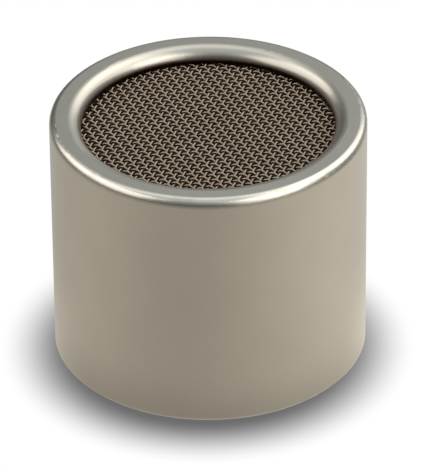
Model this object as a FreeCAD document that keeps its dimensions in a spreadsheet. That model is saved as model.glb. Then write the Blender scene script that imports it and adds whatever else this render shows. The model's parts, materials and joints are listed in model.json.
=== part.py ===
import FreeCAD
import Part

import math
import os
import re

import Sketcher
from FreeCAD import Rotation, Vector

# Screw-on condenser microphone capsule with an all-round (pressure) pickup.
# Millimetres, +Z up along the sound axis and towards the woven grille.
# The origin is the centre of the shell's rear rim, where the capsule stands and meets the microphone's body.
# A turned shell holds everything: grille and gauze against its front lip, a half-inch cartridge in a sleeve
# behind them, and an insulator with the centre contact behind that, all clamped by a ring screwed in from the rear.

# Driving dimensions: name, value and what it measures
SIZES = [
    ("shell_diameter", 20.0, "outside of the shell"),
    ("shell_height", 16.4, "rear rim to front rim"),
    ("rim_width", 2.0, "front lip, from the outside to the opening"),
    ("rim_outer_round", 0.45, "round on the rim's outer edge"),
    ("rim_inner_round", 0.84, "round on the opening's edge"),
    ("lip_depth", 1.0, "front rim down to the grille's seat"),
    ("bore_wall", 1.4, "shell wall around the stack of pieces"),
    ("thread_wall", 1.0, "shell wall outside the body thread"),
    ("thread_relief_depth", 0.3, "run-out groove, beyond the thread"),
    ("thread_relief_width", 0.7, "run-out groove, along the axis"),
    ("mouth_chamfer", 0.4, "lead-in of the body thread"),
    ("edge_break", 0.12, "broken outer edge at the rear rim"),
    ("slip_clearance", 0.05, "radial room of a piece in its bore"),
    ("retainer_recess", 0.1, "shoulder of the bore to the retaining ring"),
    ("mesh_pitch", 1.4, "grille wire to grille wire"),
    ("mesh_turn", 65.8, "degrees from X to the grille's warp wires"),
    ("wire_width", 0.5, "grille wire across"),
    ("wire_height", 0.19, "grille wire through its thickness"),
    ("wire_rise", 0.085, "crimp of a wire either side of the weave's middle"),
    ("gauze_thickness", 0.1, "fine dust gauze"),
    ("front_spacer_height", 1.35, "ring that clamps the grille"),
    ("front_spacer_width", 0.85, "ring that clamps the grille, across its section"),
    ("sleeve_lip_thickness", 0.6, "front lip of the centring sleeve"),
    ("gasket_thickness", 0.2, "seal in front of the cartridge"),
    ("gasket_width", 0.85, "seal in front of the cartridge, across its section"),
    ("cartridge_diameter", 12.7, "outside of the half-inch cartridge"),
    ("cartridge_height", 4.2, "cartridge cup, front to rear"),
    ("cartridge_wall", 0.6, "wall of the cartridge cup"),
    ("cartridge_rear_lip", 0.85, "inward lip at the cup's rear"),
    ("cartridge_rear_thickness", 0.6, "thickness of that lip"),
    ("ring_width", 0.65, "section of the tension ring, spacer and insulator rim"),
    ("insulator_height", 1.8, "backplate insulator"),
    ("insulator_boss_diameter", 2.8, "boss round the terminal screw"),
    ("chamber_wall", 0.65, "insulator between the recess and the back chamber"),
    ("chamber_depth", 0.4, "back chamber below the recess floor"),
    ("cloth_thickness", 0.1, "damping cloth behind the backplate"),
    ("backplate_thickness", 0.9, "backplate"),
    ("backplate_hole_diameter", 0.6, "air holes of the backplate"),
    ("inner_hole_circle", 4.2, "inner ring of air holes, diameter"),
    ("outer_hole_circle", 7.6, "outer ring of air holes, diameter"),
    ("air_gap", 0.05, "spacer between backplate and diaphragm"),
    ("film_thickness", 0.05, "diaphragm film, thickened to make a solid"),
    ("tension_ring_height", 0.8, "ring that carries the film"),
    ("clamp_ring_height", 0.8, "threaded ring in the cartridge's mouth"),
    ("clamp_slot_width", 1.0, "spanner slots of the clamp ring"),
    ("clamp_slot_depth", 0.35, "spanner slots of the clamp ring"),
    ("screw_diameter", 1.2, "terminal screw"),
    ("screw_head_diameter", 2.2, "terminal screw's head"),
    ("screw_head_height", 0.5, "terminal screw's head"),
    ("screw_slot_width", 0.3, "driver slot"),
    ("screw_slot_depth", 0.2, "driver slot"),
    ("screw_clearance", 0.03, "radial room round the terminal screw"),
    ("washer_diameter", 3.0, "terminal washer"),
    ("washer_thickness", 0.1, "terminal washer"),
    ("spring_washer_height", 0.46, "conical spring washer, loaded"),
    ("spring_washer_width", 1.05, "conical spring washer, inner to outer edge"),
    ("spring_washer_thickness", 0.2, "conical spring washer's sheet"),
    ("pressure_ring_height", 0.8, "ring that backs the spring washer"),
    ("pressure_ring_width", 1.2, "ring that backs the spring washer, across its section"),
    ("contact_plate_thickness", 1.2, "insulating plate at the rear"),
    ("contact_plate_bevel", 0.25, "bevelled edge of the plate's raised middle"),
    ("contact_plate_step", 0.3, "how far the plate's middle stands out at the rear"),
    ("vent_diameter", 0.6, "pressure vent through the plate"),
    ("vent_circle", 9.0, "circle that the vent lies on, diameter"),
    ("contact_diameter", 3.2, "button of the centre contact"),
    ("contact_height", 0.6, "button of the centre contact"),
    ("contact_edge", 0.2, "bevel on the button"),
    ("stem_diameter", 1.4, "stem of the centre contact"),
    ("spigot_diameter", 0.9, "end of the stem that centres the spring"),
    ("spigot_height", 0.4, "end of the stem that centres the spring"),
    ("nut_width", 2.3, "contact nut, across its corners"),
    ("nut_height", 0.5, "contact nut"),
    ("nut_room", 0.12, "radial room round the nut in its recess"),
    ("spring_diameter", 1.5, "contact spring, wire centre to wire centre"),
    ("spring_wire", 0.2, "contact spring's wire"),
    ("spring_turns", 3.25, "turns of the contact spring"),
    ("spring_gap", 0.01, "room at each end of the contact spring"),
    ("retainer_height", 1.0, "retaining ring"),
    ("retainer_width", 1.3, "retaining ring, across its section"),
    ("retainer_slot_width", 1.4, "spanner slots of the retaining ring"),
    ("retainer_slot_depth", 0.45, "spanner slots of the retaining ring"),
]
INNER_HOLES = 6
OUTER_HOLES = 12
SPANNER_SLOTS = 2
COIL_STEPS = 16
WIRE_SIDES = 8

# Radii, as formulas on the driving dimensions
SHELL_R = "shell_diameter / 2"
OPENING_R = "(shell_diameter / 2 - rim_width)"
BORE_R = "(shell_diameter / 2 - bore_wall)"
THREAD_R = "(shell_diameter / 2 - thread_wall)"
RELIEF_R = f"({THREAD_R} + thread_relief_depth)"
STACK_R = f"({BORE_R} - slip_clearance)"
CARTRIDGE_R = "(cartridge_diameter / 2)"
SLEEVE_BORE_R = f"({CARTRIDGE_R} + slip_clearance)"
CUP_R = f"({CARTRIDGE_R} - cartridge_wall)"
INNER_R = f"({CUP_R} - slip_clearance)"
RECESS_R = f"({INNER_R} - ring_width)"
BACKPLATE_R = f"({RECESS_R} - slip_clearance)"
SCREW_R = "(screw_diameter / 2)"
SCREW_HOLE_R = f"({SCREW_R} + screw_clearance)"
STEM_R = "(stem_diameter / 2)"
STEM_HOLE_R = f"({STEM_R} + screw_clearance)"
CONTACT_R = "(contact_diameter / 2)"
NUT_RECESS_R = "(nut_width / 2 + nut_room)"

# Heights of the seats above the rear rim, from the front lip down
LIP_SEAT = "(shell_height - lip_depth)"
MESH_THICKNESS = "(2 * wire_rise + wire_height)"
MESH_REAR = f"({LIP_SEAT} - {MESH_THICKNESS})"
GAUZE_REAR = f"({MESH_REAR} - gauze_thickness)"
SLEEVE_FRONT = f"({GAUZE_REAR} - front_spacer_height)"
GASKET_REAR = f"({SLEEVE_FRONT} - sleeve_lip_thickness - gasket_thickness)"
CARTRIDGE_REAR = f"({GASKET_REAR} - cartridge_height)"
WASHER_REAR = f"({CARTRIDGE_REAR} - spring_washer_height)"
SLEEVE_REAR = f"({WASHER_REAR} - pressure_ring_height)"
PLATE_REAR = f"({SLEEVE_REAR} - contact_plate_thickness)"
RETAINER_REAR = f"({PLATE_REAR} - retainer_height)"
SHOULDER = f"({RETAINER_REAR} - retainer_recess)"
THREAD_END = f"({SHOULDER} - thread_relief_width)"

# Heights of the seats inside the cartridge, from its rear lip up
INSULATOR_REAR = f"({CARTRIDGE_REAR} + cartridge_rear_thickness)"
RECESS_DEPTH = "(backplate_thickness + cloth_thickness)"
CLOTH_REAR = f"({INSULATOR_REAR} + insulator_height - {RECESS_DEPTH})"
BACKPLATE_REAR = f"({CLOTH_REAR} + cloth_thickness)"
GAP_REAR = f"({INSULATOR_REAR} + insulator_height)"
FILM_REAR = f"({GAP_REAR} + air_gap)"
TENSION_REAR = f"({FILM_REAR} + film_thickness)"
CLAMP_REAR = f"({TENSION_REAR} + tension_ring_height)"
SCREW_SEAT = f"({INSULATOR_REAR} - washer_thickness)"
SCREW_REAR = f"({SCREW_SEAT} - screw_head_height)"
SCREW_LENGTH = f"({GAP_REAR} - {SCREW_SEAT})"

doc = FreeCAD.newDocument("condenser_capsule")
sheet = doc.addObject("Spreadsheet::Sheet", "Sizes")


def fill_sheet():
    """Puts the driving dimensions in the sheet, one to a row."""
    for row, (name, number, note) in enumerate(SIZES, start=1):
        sheet.set(f"A{row}", name)
        sheet.set(f"B{row}", str(number))
        sheet.setAlias(f"B{row}", name)
        sheet.set(f"C{row}", note)
    doc.recompute()


def size(name):
    """The sheet's value for a driving dimension."""
    return float(getattr(sheet, name))


def length_of(formula):
    """The present value of a formula on the driving dimensions."""
    return float(sheet.evalExpression(formula))


def bound(formula):
    """A formula on the driving dimensions as an expression on the sheet's cells."""
    return re.sub(r"[a-z]\w*", lambda word: "Sizes." + word.group(), formula)


def seat(piece, height, angle=None):
    """Places a piece along the axis at a height given by a formula."""
    piece.setExpression("Placement.Base.z", bound(height))
    if angle is not None:
        piece.Placement.Rotation = Rotation(Vector(0, 0, 1), angle)


def new_body(label):
    """An empty body whose label names the piece."""
    body = doc.addObject("PartDesign::Body", label)
    body.Label = label
    return body


def new_sketch(body, name, plane):
    """A sketch on one of the body's own origin planes."""
    sketch = body.newObject("Sketcher::SketchObject", name)
    support = [item for item in body.Origin.OriginFeatures if item.Role == plane]
    sketch.AttachmentSupport = (support[0], [""])
    sketch.MapMode = "FlatFace"
    return sketch


def fix_point(sketch, line, across, along):
    """Ties the start of a sketch line to the origin by two formulas, where "0" puts it on an axis."""
    for kind, axis, formula in (("DistanceX", -2, across), ("DistanceY", -1, along)):
        if formula == "0":
            sketch.addConstraint(Sketcher.Constraint("PointOnObject", line, 1, axis))
        else:
            index = sketch.addConstraint(Sketcher.Constraint(kind, -1, 1, line, 1, 1.0))
            sketch.setExpression(f"Constraints[{index}]", bound(formula))


def closed_outline(sketch, corners):
    """Draws a closed outline through corners, each a pair of formulas."""
    count = len(corners)
    around = [Vector(math.cos(2 * math.pi * k / count), math.sin(2 * math.pi * k / count)) for k in range(count)]
    for k in range(count):
        sketch.addGeometry(Part.LineSegment(around[k], around[(k + 1) % count]))
    for k in range(count):
        sketch.addConstraint(Sketcher.Constraint("Coincident", k, 2, (k + 1) % count, 1))
    for k, (across, along) in enumerate(corners):
        fix_point(sketch, k, across, along)


def turned(label, corners, height):
    """A piece turned about the axis from half its section, seated at a height."""
    body = new_body(label)
    sketch = new_sketch(body, label + "_section", "XZ_Plane")
    closed_outline(sketch, corners)
    spin = body.newObject("PartDesign::Revolution", label + "_turned")
    spin.Profile = sketch
    spin.ReferenceAxis = (sketch, ["V_Axis"])
    spin.Angle = 360.0
    sketch.Visibility = False
    seat(body, height)
    doc.recompute()
    return body


def ring(label, inner, outer, height, seat_height):
    """A plain turned ring, or a disc where the inner radius is "0"."""
    return turned(label, [(inner, "0"), (outer, "0"), (outer, height), (inner, height)], seat_height)


def rim_edge(feature, radius, height):
    """The name of the circular edge of a feature at a radius and a height."""
    for number, edge in enumerate(feature.Shape.Edges, start=1):
        curve = edge.Curve
        if isinstance(curve, Part.Circle) and abs(curve.Radius - radius) < 1e-6:
            if abs(curve.Center.z - height) < 1e-6:
                return f"Edge{number}"
    raise RuntimeError(f"{feature.Label} has no edge of radius {radius} at {height}")


def round_edge(body, name, radius, height, formula):
    """Rounds one circular edge of a body's last feature."""
    last = body.Tip
    fillet = body.newObject("PartDesign::Fillet", name)
    fillet.Base = (last, [rim_edge(last, radius, height)])
    fillet.setExpression("Radius", bound(formula))
    doc.recompute()


def cut_from(body, name, sketch, depth, through=False):
    """Cuts a sketch into a body upwards from the sketch's plane."""
    before = body.Shape.Volume
    pocket = body.newObject("PartDesign::Pocket", name)
    pocket.Profile = sketch
    pocket.Reversed = True
    if through:
        pocket.Type = "ThroughAll"
    else:
        pocket.Type = "Length"
        pocket.setExpression("Length", bound(depth))
    sketch.Visibility = False
    doc.recompute()
    if pocket.Shape.Volume >= before:
        raise RuntimeError(f"{name} cuts nothing")
    return pocket


def repeat_round(body, name, feature, count):
    """Repeats a cut evenly about the axis."""
    pattern = body.newObject("PartDesign::PolarPattern", name)
    pattern.Originals = [feature]
    axis = [item for item in body.Origin.OriginFeatures if item.Role == "Z_Axis"]
    pattern.Axis = (axis[0], [""])
    pattern.Angle = 360.0
    pattern.Occurrences = count
    body.Tip = pattern
    doc.recompute()


def round_hole_sketch(body, name, reach, radius):
    """A circle on the X axis of the base plane, at a reach from the axis."""
    sketch = new_sketch(body, name, "XY_Plane")
    sketch.addGeometry(Part.Circle(Vector(1, 0, 0), Vector(0, 0, 1), 0.5))
    sketch.addConstraint(Sketcher.Constraint("PointOnObject", 0, 3, -1))
    across = sketch.addConstraint(Sketcher.Constraint("DistanceX", -1, 1, 0, 3, 1.0))
    sketch.setExpression(f"Constraints[{across}]", bound(reach))
    wide = sketch.addConstraint(Sketcher.Constraint("Radius", 0, 0.5))
    sketch.setExpression(f"Constraints[{wide}]", bound(radius))
    return sketch


def slot_sketch(body, name, inner, outer, width):
    """A rectangle across the X axis of the base plane, from an inner to an outer reach."""
    sketch = new_sketch(body, name, "XY_Plane")
    corners = [Vector(1, -1), Vector(2, -1), Vector(2, 1), Vector(1, 1)]
    for k in range(4):
        sketch.addGeometry(Part.LineSegment(corners[k], corners[(k + 1) % 4]))
    for k in range(4):
        sketch.addConstraint(Sketcher.Constraint("Coincident", k, 2, (k + 1) % 4, 1))
    for line, kind in ((0, "Horizontal"), (2, "Horizontal"), (1, "Vertical")):
        sketch.addConstraint(Sketcher.Constraint(kind, line))
    sketch.addConstraint(Sketcher.Constraint("Symmetric", 0, 1, 2, 2, -1))
    for line, formula in ((0, inner), (1, outer)):
        index = sketch.addConstraint(Sketcher.Constraint("DistanceX", -1, 1, line, 1, 1.0 + line))
        sketch.setExpression(f"Constraints[{index}]", bound(formula))
    index = sketch.addConstraint(Sketcher.Constraint("DistanceY", 1, 1, 1, 2, 2.0))
    sketch.setExpression(f"Constraints[{index}]", bound(width))
    return sketch


def outer_shell():
    """Nickel-plated shell, turned from one bar: front lip, stack bore, thread run-out and body thread."""
    body = turned(
        "outer_shell",
        [
            (f"{THREAD_R} + mouth_chamfer", "0"),
            (f"{SHELL_R} - edge_break", "0"),
            (SHELL_R, "edge_break"),
            (SHELL_R, "shell_height"),
            (OPENING_R, "shell_height"),
            (OPENING_R, LIP_SEAT),
            (BORE_R, LIP_SEAT),
            (BORE_R, SHOULDER),
            (RELIEF_R, SHOULDER),
            (RELIEF_R, THREAD_END),
            (THREAD_R, THREAD_END),
            (THREAD_R, "mouth_chamfer"),
        ],
        "0",
    )
    top = size("shell_height")
    round_edge(body, "rim_outside", length_of(SHELL_R), top, "rim_outer_round")
    round_edge(body, "rim_inside", length_of(OPENING_R), top, "rim_inner_round")


def crimped_wire(reach, lift, start):
    """One woven wire along X, about Y = 0: a chain of straight runs between crossings, over and under in turn.

    The section is a flat-topped hexagon that stays upright, so every face of the wire is flat.
    """
    pitch = size("mesh_pitch")
    half_width = size("wire_width") / 2
    half_height = size("wire_height") / 2
    outline = [
        (half_width, 0.0),
        (half_width / 2, half_height),
        (-half_width / 2, half_height),
        (-half_width, 0.0),
        (-half_width / 2, -half_height),
        (half_width / 2, -half_height),
    ]
    sections = []
    for crossing in range(-reach, reach + 1):
        height = lift if (crossing + start) % 2 == 0 else -lift
        corners = [Vector(crossing * pitch, across, height + up) for across, up in outline]
        sections.append(Part.makePolygon(corners + corners[:1]))
    return Part.makeLoft(sections, True, True)


def grille_mesh():
    """Plain-woven wire cloth, cut round: warp and weft wires pass over and under each other at every crossing."""
    pitch = size("mesh_pitch")
    rise = size("wire_rise")
    radius = length_of(STACK_R)
    half_thickness = length_of(MESH_THICKNESS) / 2
    reach = int(radius / pitch) + 1
    wires = []
    for number in range(-reach, reach + 1):
        warp = crimped_wire(reach + 1, rise, number)
        warp.translate(Vector(0, number * pitch, 0))
        weft = crimped_wire(reach + 1, -rise, number)
        weft.rotate(Vector(0, 0, 0), Vector(0, 0, 1), 90)
        weft.translate(Vector(number * pitch, 0, 0))
        wires += [warp, weft]
    cloth = wires[0].multiFuse(wires[1:])
    disc = Part.makeCylinder(radius, 4 * half_thickness, Vector(0, 0, -2 * half_thickness))
    mesh = doc.addObject("Part::Feature", "grille_mesh")
    mesh.Shape = cloth.common(disc)
    mesh.Placement.Rotation = Rotation(Vector(0, 0, 1), size("mesh_turn"))
    mesh.Placement.Base.z = length_of(LIP_SEAT) - half_thickness
    mesh.Label = "grille_mesh"


def front_stack():
    """What lies between the grille and the cartridge: gauze, clamping spacer, sleeve and gasket."""
    ring("dust_gauze", "0", STACK_R, "gauze_thickness", GAUZE_REAR)
    ring("front_spacer", f"{STACK_R} - front_spacer_width", STACK_R, "front_spacer_height", SLEEVE_FRONT)
    sleeve_height = f"({SLEEVE_FRONT} - {SLEEVE_REAR})"
    lip_rear = f"({sleeve_height} - sleeve_lip_thickness)"
    lip_inner = f"({SLEEVE_BORE_R} - gasket_width)"
    turned(
        "centring_sleeve",
        [
            (SLEEVE_BORE_R, "0"),
            (STACK_R, "0"),
            (STACK_R, sleeve_height),
            (lip_inner, sleeve_height),
            (lip_inner, lip_rear),
            (SLEEVE_BORE_R, lip_rear),
        ],
        SLEEVE_REAR,
    )
    ring("cartridge_gasket", f"{CARTRIDGE_R} - gasket_width", CARTRIDGE_R, "gasket_thickness", GASKET_REAR)


def cartridge_body():
    """Brass cup of the cartridge, open at the front, with an inward lip at the rear."""
    turned(
        "cartridge_body",
        [
            (f"{CUP_R} - cartridge_rear_lip", "0"),
            (CARTRIDGE_R, "0"),
            (CARTRIDGE_R, "cartridge_height"),
            (CUP_R, "cartridge_height"),
            (CUP_R, "cartridge_rear_thickness"),
            (f"{CUP_R} - cartridge_rear_lip", "cartridge_rear_thickness"),
        ],
        CARTRIDGE_REAR,
    )


def backplate_insulator():
    """Insulating dish that holds the backplate, with the back chamber sunk in its floor."""
    floor = f"(insulator_height - {RECESS_DEPTH})"
    chamber_floor = f"({floor} - chamber_depth)"
    chamber_r = f"({RECESS_R} - chamber_wall)"
    boss_r = "insulator_boss_diameter / 2"
    turned(
        "backplate_insulator",
        [
            (SCREW_HOLE_R, "0"),
            (INNER_R, "0"),
            (INNER_R, "insulator_height"),
            (RECESS_R, "insulator_height"),
            (RECESS_R, floor),
            (chamber_r, floor),
            (chamber_r, chamber_floor),
            (boss_r, chamber_floor),
            (boss_r, floor),
            (SCREW_HOLE_R, floor),
        ],
        INSULATOR_REAR,
    )


def backplate():
    """Perforated backplate: two rings of air holes round the terminal screw's hole."""
    body = ring("backplate", SCREW_HOLE_R, BACKPLATE_R, "backplate_thickness", BACKPLATE_REAR)
    hole_r = "backplate_hole_diameter / 2"
    for name, circle, count in (("inner", "inner_hole_circle", INNER_HOLES), ("outer", "outer_hole_circle", OUTER_HOLES)):
        sketch = round_hole_sketch(body, f"{name}_hole_outline", f"{circle} / 2", hole_r)
        hole = cut_from(body, f"{name}_hole", sketch, "", through=True)
        repeat_round(body, f"{name}_holes", hole, count)


def diaphragm_stack():
    """Cloth, spacer, film and the rings that stretch and clamp it, from the backplate to the cartridge's mouth."""
    ring("damping_cloth", SCREW_HOLE_R, BACKPLATE_R, "cloth_thickness", CLOTH_REAR)
    ring("diaphragm_spacer", RECESS_R, INNER_R, "air_gap", GAP_REAR)
    ring("diaphragm_film", "0", INNER_R, "film_thickness", FILM_REAR)
    ring("tension_ring", RECESS_R, INNER_R, "tension_ring_height", TENSION_REAR)


def spanner_slots(body, name, inner, outer, width, depth):
    """Cuts the slots that a pin spanner turns a ring by, in the ring's rear face."""
    sketch = slot_sketch(body, name + "_outline", inner, outer, width)
    slot = cut_from(body, name, sketch, depth)
    repeat_round(body, name + "_pair", slot, SPANNER_SLOTS)


def clamp_ring():
    """Threaded ring in the cartridge's mouth, its spanner slots facing forwards."""
    body = ring("clamp_ring", RECESS_R, INNER_R, "clamp_ring_height", "0")
    spanner_slots(
        body,
        "clamp_slot",
        f"{RECESS_R} - ring_width",
        f"{INNER_R} + ring_width",
        "clamp_slot_width",
        "clamp_slot_depth",
    )
    body.setExpression("Placement.Base.z", bound(f"{CLAMP_REAR} + clamp_ring_height"))
    body.Placement.Rotation = Rotation(Vector(1, 0, 0), 180)
    doc.recompute()


def terminal_screw():
    """Slotted screw from behind through washer and insulator into the backplate."""
    head_r = "screw_head_diameter / 2"
    length = f"(screw_head_height + {SCREW_LENGTH})"
    body = turned(
        "terminal_screw",
        [("0", "0"), (head_r, "0"), (head_r, "screw_head_height"), (SCREW_R, "screw_head_height"), (SCREW_R, length), ("0", length)],
        SCREW_REAR,
    )
    sketch = slot_sketch(body, "driver_slot_outline", "-screw_head_diameter", "screw_head_diameter", "screw_slot_width")
    cut_from(body, "driver_slot", sketch, "screw_slot_depth")
    ring("terminal_washer", SCREW_HOLE_R, "washer_diameter / 2", "washer_thickness", SCREW_SEAT)


def rear_springing():
    """Conical spring washer and the ring behind it, which press the cartridge against its gasket."""
    outer = CARTRIDGE_R
    inner = f"({CARTRIDGE_R} - spring_washer_width)"
    turned(
        "spring_washer",
        [
            (outer, "0"),
            (outer, "spring_washer_thickness"),
            (inner, "spring_washer_height"),
            (inner, "spring_washer_height - spring_washer_thickness"),
        ],
        WASHER_REAR,
    )
    ring("pressure_ring", f"{CARTRIDGE_R} - pressure_ring_width", CARTRIDGE_R, "pressure_ring_height", SLEEVE_REAR)


def contact_plate():
    """Insulating plate: a raised middle inside the retaining ring, a stem hole, a nut recess in front and a vent."""
    middle_r = f"({STACK_R} - retainer_width - slip_clearance)"
    front = "(contact_plate_step + contact_plate_thickness)"
    nut_floor = f"({front} - nut_height)"
    body = turned(
        "contact_plate",
        [
            (STEM_HOLE_R, "0"),
            (f"{middle_r} - contact_plate_bevel", "0"),
            (middle_r, "contact_plate_bevel"),
            (middle_r, "contact_plate_step"),
            (STACK_R, "contact_plate_step"),
            (STACK_R, front),
            (NUT_RECESS_R, front),
            (NUT_RECESS_R, nut_floor),
            (STEM_HOLE_R, nut_floor),
        ],
        f"{PLATE_REAR} - contact_plate_step",
    )
    sketch = round_hole_sketch(body, "vent_outline", "vent_circle / 2", "vent_diameter / 2")
    cut_from(body, "vent", sketch, "", through=True)


def centre_contact():
    """Gold-plated contact: a bevelled button behind the plate, and a stem through it that centres the spring."""
    stem_top = "(contact_height + contact_plate_step + contact_plate_thickness)"
    spigot_r = "spigot_diameter / 2"
    turned(
        "centre_contact",
        [
            ("0", "0"),
            (f"{CONTACT_R} - contact_edge", "0"),
            (CONTACT_R, "contact_edge"),
            (CONTACT_R, "contact_height"),
            (STEM_R, "contact_height"),
            (STEM_R, stem_top),
            (spigot_r, stem_top),
            (spigot_r, f"{stem_top} + spigot_height"),
            ("0", f"{stem_top} + spigot_height"),
        ],
        f"{PLATE_REAR} - contact_plate_step - contact_height",
    )


def contact_nut():
    """Hexagonal nut that holds the contact's stem, sunk in the plate."""
    hexagon = doc.addObject("Part::Prism", "nut_blank")
    hexagon.Polygon = 6
    hexagon.setExpression("Circumradius", bound("nut_width / 2"))
    hexagon.setExpression("Height", bound("nut_height"))
    hole = doc.addObject("Part::Cylinder", "nut_hole")
    hole.setExpression("Radius", bound(STEM_HOLE_R))
    hole.setExpression("Height", bound("nut_height"))
    nut = doc.addObject("Part::Cut", "contact_nut")
    nut.Base = hexagon
    nut.Tool = hole
    nut.Label = "contact_nut"
    seat(nut, f"{SLEEVE_REAR} - nut_height")
    doc.recompute()


def contact_spring():
    """Coil spring between the contact nut and the terminal screw's head, its wire an octagon in straight runs."""
    wire = size("spring_wire") / 2
    radius = size("spring_diameter") / 2
    front = length_of(f"{SCREW_REAR} - spring_gap") - wire
    rear = length_of(f"{SLEEVE_REAR} + spring_gap") + wire
    steps = round(size("spring_turns") * COIL_STEPS)
    sections = []
    for step in range(steps + 1):
        turn = 2 * math.pi * step / COIL_STEPS
        outwards = Vector(math.cos(turn), math.sin(turn), 0)
        centre = outwards * radius + Vector(0, 0, rear + (front - rear) * step / steps)
        corners = []
        for side in range(WIRE_SIDES):
            lean = math.pi * (2 * side + 1) / WIRE_SIDES
            corners.append(centre + outwards * (wire * math.cos(lean)) + Vector(0, 0, wire * math.sin(lean)))
        sections.append(Part.makePolygon(corners + corners[:1]))
    coil = doc.addObject("Part::Feature", "contact_spring")
    coil.Shape = Part.makeLoft(sections, True, True)
    coil.Label = "contact_spring"


def retaining_ring():
    """Threaded ring that clamps the whole stack from the rear, with two spanner slots."""
    inner = f"({STACK_R} - retainer_width)"
    body = ring("retaining_ring", inner, STACK_R, "retainer_height", RETAINER_REAR)
    spanner_slots(
        body,
        "retainer_slot",
        f"{inner} - retainer_width",
        f"{STACK_R} + retainer_width",
        "retainer_slot_width",
        "retainer_slot_depth",
    )


def check_document():
    """Stops if any object of the document failed to build."""
    for item in doc.Objects:
        if "Invalid" in item.State or "Error" in item.State:
            raise RuntimeError(f"{item.Label} failed: {item.State}")


def write_pieces():
    """Writes each piece to parts, named after its label."""
    used = [item for item in doc.Objects if item.TypeId == "Part::Cut"]
    inside = {part.Name for item in used for part in (item.Base, item.Tool)}
    kinds = ("PartDesign::Body", "Part::Cut", "Part::Feature")
    pieces = [item for item in doc.Objects if item.TypeId in kinds and item.Name not in inside]
    for piece in pieces:
        shape = piece.Shape
        if shape.isNull() or not shape.isValid() or not shape.Solids:
            raise RuntimeError(f"{piece.Label} has no valid solid")
    os.makedirs("parts", exist_ok=True)
    for piece in pieces:
        piece.Shape.exportStep(os.path.join("parts", piece.Label + ".step"))
        box = piece.Shape.BoundBox
        print(f"{piece.Label}: {len(piece.Shape.Solids)} solid, z {box.ZMin:.3f} to {box.ZMax:.3f}")


fill_sheet()
outer_shell()
grille_mesh()
front_stack()
cartridge_body()
backplate_insulator()
backplate()
diaphragm_stack()
clamp_ring()
terminal_screw()
rear_springing()
contact_plate()
centre_contact()
contact_nut()
contact_spring()
retaining_ring()
doc.recompute()
check_document()
write_pieces()
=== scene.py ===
"""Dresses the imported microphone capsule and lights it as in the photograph.

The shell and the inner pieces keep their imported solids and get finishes. The grille's coarse cloth is
replaced by the fine woven one, and the body thread's ridges are laid in the bore. Lengths are in metres, in
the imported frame.
"""

import json
import logging
import math
from dataclasses import dataclass, field
from enum import Enum
from typing import Any, Union

import bpy
from mathutils import Matrix, Vector


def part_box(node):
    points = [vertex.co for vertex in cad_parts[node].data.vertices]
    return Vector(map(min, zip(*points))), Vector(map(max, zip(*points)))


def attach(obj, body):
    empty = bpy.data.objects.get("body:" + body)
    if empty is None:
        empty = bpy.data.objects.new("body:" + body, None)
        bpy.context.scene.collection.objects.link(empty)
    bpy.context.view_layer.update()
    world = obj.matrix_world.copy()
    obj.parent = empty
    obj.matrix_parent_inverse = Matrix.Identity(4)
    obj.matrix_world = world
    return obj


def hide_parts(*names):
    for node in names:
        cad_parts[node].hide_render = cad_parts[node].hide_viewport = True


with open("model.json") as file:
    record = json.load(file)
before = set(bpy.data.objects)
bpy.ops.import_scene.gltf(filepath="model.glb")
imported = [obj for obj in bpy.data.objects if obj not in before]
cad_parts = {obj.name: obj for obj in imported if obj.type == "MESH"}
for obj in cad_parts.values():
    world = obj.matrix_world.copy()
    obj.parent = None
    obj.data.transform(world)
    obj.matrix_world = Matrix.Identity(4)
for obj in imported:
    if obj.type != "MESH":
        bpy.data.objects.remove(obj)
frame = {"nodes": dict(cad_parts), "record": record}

MM = 0.001
ROOT = "root"

logging.basicConfig(level=logging.INFO, format="%(name)s: %(message)s")
log = logging.getLogger("capsule")

Colour = tuple[float, float, float]


class Value:
    """One output socket, whose arithmetic adds Math nodes to its tree."""

    def __init__(self, graph: "Graph", socket: bpy.types.NodeSocket) -> None:
        """Wraps a socket.

        Args:
            graph: The tree that the socket belongs to.
            socket: The output socket.
        """
        self.graph = graph
        self.socket = socket

    def __add__(self, other: "Number") -> "Value":
        """Sum."""
        return self.graph.math("ADD", self, other)

    def __radd__(self, other: "Number") -> "Value":
        """Sum with a plain number on the left."""
        return self.graph.math("ADD", other, self)

    def __sub__(self, other: "Number") -> "Value":
        """Difference."""
        return self.graph.math("SUBTRACT", self, other)

    def __rsub__(self, other: "Number") -> "Value":
        """Difference with a plain number on the left."""
        return self.graph.math("SUBTRACT", other, self)

    def __mul__(self, other: "Number") -> "Value":
        """Product."""
        return self.graph.math("MULTIPLY", self, other)

    def __rmul__(self, other: "Number") -> "Value":
        """Product with a plain number on the left."""
        return self.graph.math("MULTIPLY", other, self)

    def __gt__(self, other: "Number") -> "Value":
        """One where this is the greater, else nought."""
        return self.graph.math("GREATER_THAN", self, other)


Number = Union[Value, float]


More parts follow.
